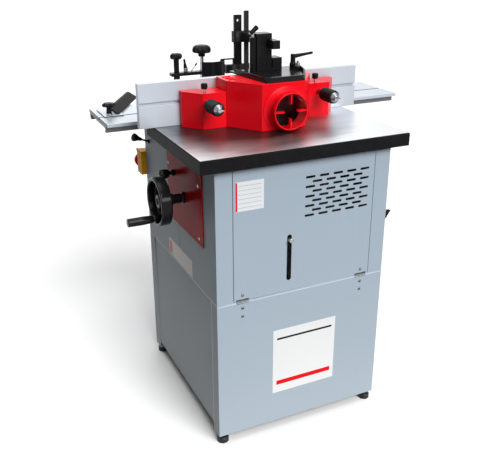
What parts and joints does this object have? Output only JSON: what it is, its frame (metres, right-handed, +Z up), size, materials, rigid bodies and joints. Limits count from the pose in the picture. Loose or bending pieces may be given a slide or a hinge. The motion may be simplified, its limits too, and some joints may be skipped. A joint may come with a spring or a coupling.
{
  "type": "spindle moulder",
  "caption": "Floor-standing woodworking spindle moulder with a lift spindle, adjustable fence under a dust hood, sliding table with mitre stop, and belt drive in a sheet cabinet.",
  "frame": {"origin": "on the floor, at the middle of the cabinet", "axes": "+Z up, +X to the handwheel side, -Y to the operator and the sliding table, +Y to the service door"},
  "size_m": [0.9985, 0.7424, 1.144],
  "materials": {
    "cabinet_paint": "satin light steel-grey paint",
    "signal_red": "glossy signal-red paint",
    "black_paint": "satin black paint",
    "cast_table": "ground and polished",
    "castings": "as cast",
    "bright_steel": "turned",
    "zinc_steel": "zinc plated",
    "anodised": "satin anodised",
    "black_plastic": "fine grained",
    "black_gloss": "polished",
    "foot_rubber": "matt",
    "belt_rubber": "fabric-faced",
    "motor_paint": "satin dark grey paint",
    "switch_yellow": "semi-gloss",
    "stop_red": "semi-gloss",
    "start_green": "semi-gloss"
  },
  "bodies": {
    "cabinet": {"base_panels": "cabinet_paint", "levelling_feet": "foot_rubber", "cabinet_shell": "cabinet_paint", "cabinet_fasteners": "zinc_steel", "side_plate": "signal_red", "base_hinge_leaves": "zinc_steel", "table": "cast_table", "insert_rings": "bright_steel", "guide_columns": "bright_steel", "lift_bracket": "castings", "shaft_bush": "bright_steel", "slide_rail": "anodised", "slide_brackets": "black_paint", "cutter_hood": "signal_red", "hood_top_plate": "black_paint", "dust_port": "signal_red", "fence_boxes": "signal_red", "pressure_post": "black_paint", "switch_box": "switch_yellow"},
    "door": {"rear_door": "cabinet_paint", "door_hinge_leaves": "zinc_steel"},
    "carriage": {"lift_carriage": "castings", "spindle_bearings": "bright_steel", "motor_body": "motor_paint", "drive_belt": "belt_rubber"},
    "spindle": {"spindle_shaft": "bright_steel", "spindle_rings": "bright_steel", "spindle_pulley": "bright_steel"},
    "motor_rotor": {"motor_pulley": "bright_steel"},
    "lift_screw": {"lift_screw": "bright_steel"},
    "handwheel": {"handwheel": "black_gloss", "handwheel_shaft": "bright_steel"},
    "grip": {"handwheel_grip": "black_plastic"},
    "height_lock": {"height_lock_knob": "black_plastic"},
    "tension": {"tension_knob": "zinc_steel"},
    "latch": {"side_latch": "black_plastic"},
    "slide_lock": {"slide_lock_lever": "bright_steel"},
    "flap": {"switch_flap": "switch_yellow"},
    "stop": {"stop_button": "stop_red"},
    "start": {"start_button": "start_green"},
    "left_carrier": {"left_fence_carrier": "anodised"},
    "left_board": {"left_fence_board": "anodised"},
    "left_adjuster": {"left_adjuster": "black_plastic"},
    "left_clamp": {"left_clamp_knob": "black_plastic"},
    "right_carrier": {"right_fence_carrier": "anodised"},
    "right_board": {"right_fence_board": "anodised"},
    "right_adjuster": {"right_adjuster": "black_plastic"},
    "right_clamp": {"right_clamp_knob": "black_plastic"},
    "pressure_bar": {"pressure_bar": "black_paint"},
    "pressure_uprights": {"pressure_uprights": "black_paint"},
    "pressure_shoe": {"pressure_shoe": "black_paint"},
    "post_lever": {"post_lever": "black_plastic"},
    "plate_lever": {"plate_lever": "black_plastic"},
    "slide": {"sliding_table": "anodised", "hold_down_post": "black_paint"},
    "mitre": {"mitre_plate": "black_paint"},
    "mitre_knob": {"mitre_knob": "black_plastic"},
    "hold_screw": {"hold_down_screw": "bright_steel"},
    "hold_knob": {"hold_down_knob": "black_plastic"},
    "hold_lever": {"hold_down_lever": "black_plastic"}
  },
  "joints": [
    {"name": "door_hinge", "type": "hinge", "parent": "cabinet", "child": "door", "pos_m": [0, 0.282, 0.451], "axis": [-1, 0, 0], "range_deg": [0, 100]},
    {"name": "handwheel_turn", "type": "hinge", "parent": "cabinet", "child": "handwheel", "pos_m": [0.3, 0.065, 0.686], "axis": [1, 0, 0], "range_deg": [0, 7200]},
    {"name": "carriage_lift", "type": "slide", "parent": "cabinet", "child": "carriage", "axis": [0, 0, 1], "range_m": [-0.1, 0]},
    {"name": "lift_screw_turn", "type": "hinge", "parent": "cabinet", "child": "lift_screw", "pos_m": [0.06, 0.065, 0.6], "axis": [0, 0, 1], "range_deg": [0, 7200]},
    {"name": "spindle_spin", "type": "hinge", "parent": "carriage", "child": "spindle", "pos_m": [-0.012, -0.018, 0.8], "axis": [0, 0, 1], "continuous": true},
    {"name": "motor_spin", "type": "hinge", "parent": "carriage", "child": "motor_rotor", "pos_m": [-0.095, 0.15, 0.6], "axis": [0, 0, 1], "continuous": true},
    {"name": "grip_spin", "type": "hinge", "parent": "handwheel", "child": "grip", "pos_m": [0.346, 0.0558, 0.6338], "axis": [1, 0, 0], "continuous": true},
    {"name": "height_lock_turn", "type": "hinge", "parent": "cabinet", "child": "height_lock", "pos_m": [0.263, -0.006, 0.7375], "axis": [1, 0, 0], "range_deg": [0, 360]},
    {"name": "tension_turn", "type": "hinge", "parent": "carriage", "child": "tension", "pos_m": [0.0476, 0.24, 0.606], "axis": [0, 1, 0], "range_deg": [0, 720]},
    {"name": "latch_turn", "type": "hinge", "parent": "cabinet", "child": "latch", "pos_m": [-0.26, 0.267, 0.622], "axis": [-1, 0, 0], "range_deg": [0, 90]},
    {"name": "slide_lock_turn", "type": "hinge", "parent": "cabinet", "child": "slide_lock", "pos_m": [0.26, -0.2375, 0.7683], "axis": [1, 0, 0], "range_deg": [-45, 45]},
    {"name": "flap_hinge", "type": "hinge", "parent": "cabinet", "child": "flap", "pos_m": [0.252, -0.3287, 0.719], "axis": [-1, 0, 0], "range_deg": [0, 80]},
    {"name": "stop_press", "type": "slide", "parent": "flap", "child": "stop", "axis": [0, 1, 0], "range_m": [0, 0.004], "stiffness_N_per_m": 400, "springref_m": -0.001},
    {"name": "start_press", "type": "slide", "parent": "cabinet", "child": "start", "axis": [0, 1, 0], "range_m": [0, 0.003], "stiffness_N_per_m": 300, "springref_m": -0.001},
    {"name": "left_adjuster_turn", "type": "hinge", "parent": "cabinet", "child": "left_adjuster", "pos_m": [0.178, 0.036, 0.934], "axis": [0, 1, 0], "range_deg": [0, 2160]},
    {"name": "left_carrier_shift", "type": "slide", "parent": "cabinet", "child": "left_carrier", "axis": [0, 1, 0], "range_m": [-0.012, 0]},
    {"name": "left_board_shift", "type": "slide", "parent": "left_carrier", "child": "left_board", "axis": [1, 0, 0], "range_m": [-0.03, 0.03]},
    {"name": "left_clamp_turn", "type": "hinge", "parent": "cabinet", "child": "left_clamp", "pos_m": [0.177, 0.022, 0.96], "axis": [0, 0, 1], "range_deg": [0, 360]},
    {"name": "right_adjuster_turn", "type": "hinge", "parent": "cabinet", "child": "right_adjuster", "pos_m": [-0.174, 0.036, 0.934], "axis": [0, 1, 0], "range_deg": [0, 2160]},
    {"name": "right_carrier_shift", "type": "slide", "parent": "cabinet", "child": "right_carrier", "axis": [0, 1, 0], "range_m": [-0.012, 0]},
    {"name": "right_board_shift", "type": "slide", "parent": "right_carrier", "child": "right_board", "axis": [1, 0, 0], "range_m": [-0.03, 0.03]},
    {"name": "right_clamp_turn", "type": "hinge", "parent": "cabinet", "child": "right_clamp", "pos_m": [-0.168, 0.022, 0.96], "axis": [0, 0, 1], "range_deg": [0, 360]},
    {"name": "pressure_bar_shift", "type": "slide", "parent": "cabinet", "child": "pressure_bar", "axis": [0, 1, 0], "range_m": [-0.01, 0.06]},
    {"name": "pressure_height", "type": "slide", "parent": "pressure_bar", "child": "pressure_uprights", "axis": [0, 0, 1], "range_m": [-0.04, 0.035]},
    {"name": "pressure_shoe_swing", "type": "hinge", "parent": "pressure_uprights", "child": "pressure_shoe", "pos_m": [0.026, -0.206, 0.98], "axis": [0, 0, 1], "range_deg": [-20, 20]},
    {"name": "post_lever_turn", "type": "hinge", "parent": "cabinet", "child": "post_lever", "pos_m": [0.001, -0.04, 1.09], "axis": [0, 0, 1], "range_deg": [-60, 60]},
    {"name": "plate_lever_turn", "type": "hinge", "parent": "cabinet", "child": "plate_lever", "pos_m": [-0.128, -0.04, 1], "axis": [0, 0, 1], "range_deg": [-30, 90]},
    {"name": "slide_travel", "type": "slide", "parent": "cabinet", "child": "slide", "axis": [1, 0, 0], "range_m": [-0.15, 0.35]},
    {"name": "mitre_swing", "type": "hinge", "parent": "slide", "child": "mitre", "pos_m": [0.381, -0.222, 0.864], "axis": [0, 0, 1], "range_deg": [-10, 50]},
    {"name": "mitre_knob_turn", "type": "hinge", "parent": "mitre", "child": "mitre_knob", "pos_m": [0.381, -0.222, 0.88], "axis": [0, 0, 1], "range_deg": [0, 720]},
    {"name": "hold_screw_drop", "type": "slide", "parent": "slide", "child": "hold_screw", "axis": [0, 0, 1], "range_m": [-0.02, 0.03]},
    {"name": "hold_knob_turn", "type": "hinge", "parent": "slide", "child": "hold_knob", "pos_m": [0.1435, -0.29, 0.98], "axis": [0, 0, 1], "range_deg": [0, 360]},
    {"name": "hold_lever_turn", "type": "hinge", "parent": "slide", "child": "hold_lever", "pos_m": [0.1135, -0.29, 0.96], "axis": [0, 0, 1], "range_deg": [-45, 45]}
  ],
  "couplings": [
    {"joint": "handwheel_turn", "follows": "carriage_lift", "rad_per_m": -1256.6},
    {"joint": "lift_screw_turn", "follows": "carriage_lift", "rad_per_m": -1256.6},
    {"joint": "motor_spin", "follows": "spindle_spin", "ratio": 0.66667},
    {"joint": "left_adjuster_turn", "follows": "left_carrier_shift", "rad_per_m": -3141.6},
    {"joint": "right_adjuster_turn", "follows": "right_carrier_shift", "rad_per_m": -3141.6}
  ]
}
